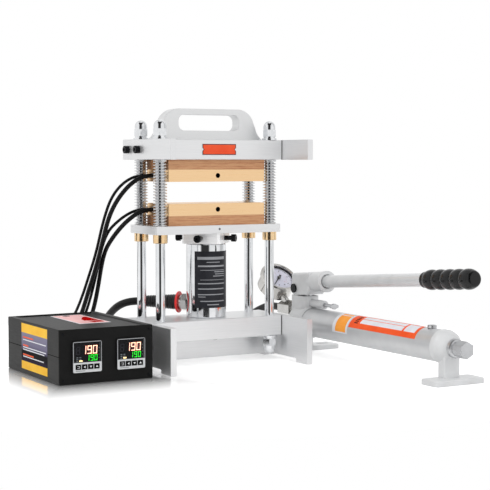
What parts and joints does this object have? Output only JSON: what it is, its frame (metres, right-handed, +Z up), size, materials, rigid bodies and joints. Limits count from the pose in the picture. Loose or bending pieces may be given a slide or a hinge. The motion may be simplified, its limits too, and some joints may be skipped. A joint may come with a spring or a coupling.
{
  "type": "hydraulic heat press",
  "caption": "Four-post hydraulic press with two heated plates, a hand pump with gauge and hose, and a twin temperature controller box joined by cables.",
  "frame": {"origin": "bottom centre of the set without its hose and cables, on the bench", "axes": "+X to the set's right (pump side), +Y to its back, +Z up; the heated plates and controller displays face -Y"},
  "size_m": [0.617, 0.934, 0.4346],
  "materials": {
    "frame_metal": "satin anodised",
    "steel_bright": "polished",
    "steel_dark": "black oxide",
    "spring_steel": "drawn wire",
    "insulator_board": "laminated board",
    "plate_gold": "gold anodised",
    "bronze": "turned bronze",
    "brass": "machined brass",
    "pump_cast": "silver paint on casting",
    "tube_silver": "silver paint on tube",
    "rubber_black": "moulded",
    "rubber_red": "moulded",
    "case_black": "satin black",
    "plastic_black": "moulded",
    "bezel_silver": "silver",
    "needle_black": "painted",
    "lens": "clear",
    "heater_steel": "drawn tube",
    "cable_black": "sleeved",
    "hose_black": "smooth cover"
  },
  "bodies": {
    "press_set": {"base_beam": "frame_metal", "left_foot_plate": "frame_metal", "right_foot_plate": "frame_metal", "center_web": "frame_metal", "top_beam": "frame_metal", "left_wing_plate": "frame_metal", "right_wing_plate": "frame_metal", "carry_handle": "frame_metal", "guide_posts": "steel_bright", "post_nuts": "steel_bright", "cylinder_body": "steel_bright", "pivot_pin": "steel_bright", "frame_screws": "steel_dark", "return_springs": "spring_steel", "upper_insulator": "insulator_board", "upper_heat_plate": "plate_gold", "upper_heater": "heater_steel", "hose_couplers": "brass", "hose_sleeves": "rubber_red", "pump_head": "pump_cast", "head_foot": "pump_cast", "end_foot": "pump_cast", "reservoir_tube": "tube_silver", "reservoir_plugs": "steel_bright", "gauge_case": "plastic_black", "rear_connectors": "plastic_black", "gauge_lens": "lens", "case_top": "case_black", "case_bottom": "case_black", "front_panel": "case_black", "rear_panel": "case_black", "controllers": "bezel_silver", "upper_power_cable": "cable_black", "lower_power_cable": "cable_black", "upper_probe_cable": "cable_black", "lower_probe_cable": "cable_black", "pressure_hose": "hose_black"},
    "platen": {"moving_plate": "frame_metal", "guide_bushings": "bronze", "lower_insulator": "insulator_board", "lower_heat_plate": "plate_gold", "lower_heater": "heater_steel", "ram_collar": "frame_metal", "collar_screws": "steel_dark", "ram": "steel_bright"},
    "pump_lever": {"lever_block": "pump_cast", "lever_tube": "tube_silver", "lever_grip": "rubber_black"},
    "pump_plunger": {"plunger": "steel_bright"},
    "release_screw": {"release_knob": "steel_bright"},
    "needle": {"gauge_needle": "needle_black"},
    "rocker": {"power_rocker": "plastic_black"},
    "left_set": {"left_set_key": "plastic_black"},
    "left_shift": {"left_shift_key": "plastic_black"},
    "left_down": {"left_down_key": "plastic_black"},
    "left_up": {"left_up_key": "plastic_black"},
    "right_set": {"right_set_key": "plastic_black"},
    "right_shift": {"right_shift_key": "plastic_black"},
    "right_down": {"right_down_key": "plastic_black"},
    "right_up": {"right_up_key": "plastic_black"}
  },
  "joints": [
    {"name": "platen_lift", "type": "slide", "parent": "press_set", "child": "platen", "axis": [0, 0, 1], "range_m": [0, 0.0365], "stiffness_N_per_m": 3000, "springref_m": -0.012, "deforming": ["return_springs", "lower_power_cable", "lower_probe_cable"]},
    {"name": "lever_swing", "type": "hinge", "parent": "press_set", "child": "pump_lever", "pos_m": [0.2315, 0.18382, 0.115], "axis": [-1, 0, 0], "range_deg": [0, 45]},
    {"name": "plunger_stroke", "type": "slide", "parent": "press_set", "child": "pump_plunger", "axis": [0, 0, 1], "range_m": [0, 0.016]},
    {"name": "release_turn", "type": "hinge", "parent": "press_set", "child": "release_screw", "pos_m": [0.2315, 0.09682, 0.09], "axis": [0, -1, 0], "range_deg": [0, 270]},
    {"name": "needle_sweep", "type": "hinge", "parent": "press_set", "child": "needle", "pos_m": [0.2315, 0.27506, 0.11607], "axis": [0, 0.6428, -0.766], "range_deg": [0, 270]},
    {"name": "rocker_tip", "type": "hinge", "parent": "press_set", "child": "rocker", "pos_m": [-0.2725, 0.24832, 0.062], "axis": [0, 0, 1], "range_deg": [-14, 0]},
    {"name": "left_set_press", "type": "slide", "parent": "press_set", "child": "left_set", "axis": [0, 1, 0], "range_m": [0, 0.0006], "stiffness_N_per_m": 1500},
    {"name": "left_shift_press", "type": "slide", "parent": "press_set", "child": "left_shift", "axis": [0, 1, 0], "range_m": [0, 0.0006], "stiffness_N_per_m": 1500},
    {"name": "left_down_press", "type": "slide", "parent": "press_set", "child": "left_down", "axis": [0, 1, 0], "range_m": [0, 0.0006], "stiffness_N_per_m": 1500},
    {"name": "left_up_press", "type": "slide", "parent": "press_set", "child": "left_up", "axis": [0, 1, 0], "range_m": [0, 0.0006], "stiffness_N_per_m": 1500},
    {"name": "right_set_press", "type": "slide", "parent": "press_set", "child": "right_set", "axis": [0, 1, 0], "range_m": [0, 0.0006], "stiffness_N_per_m": 1500},
    {"name": "right_shift_press", "type": "slide", "parent": "press_set", "child": "right_shift", "axis": [0, 1, 0], "range_m": [0, 0.0006], "stiffness_N_per_m": 1500},
    {"name": "right_down_press", "type": "slide", "parent": "press_set", "child": "right_down", "axis": [0, 1, 0], "range_m": [0, 0.0006], "stiffness_N_per_m": 1500},
    {"name": "right_up_press", "type": "slide", "parent": "press_set", "child": "right_up", "axis": [0, 1, 0], "range_m": [0, 0.0006], "stiffness_N_per_m": 1500}
  ],
  "couplings": [
    {"joint": "plunger_stroke", "follows": "lever_swing", "m_per_rad": 0.0203}
  ]
}
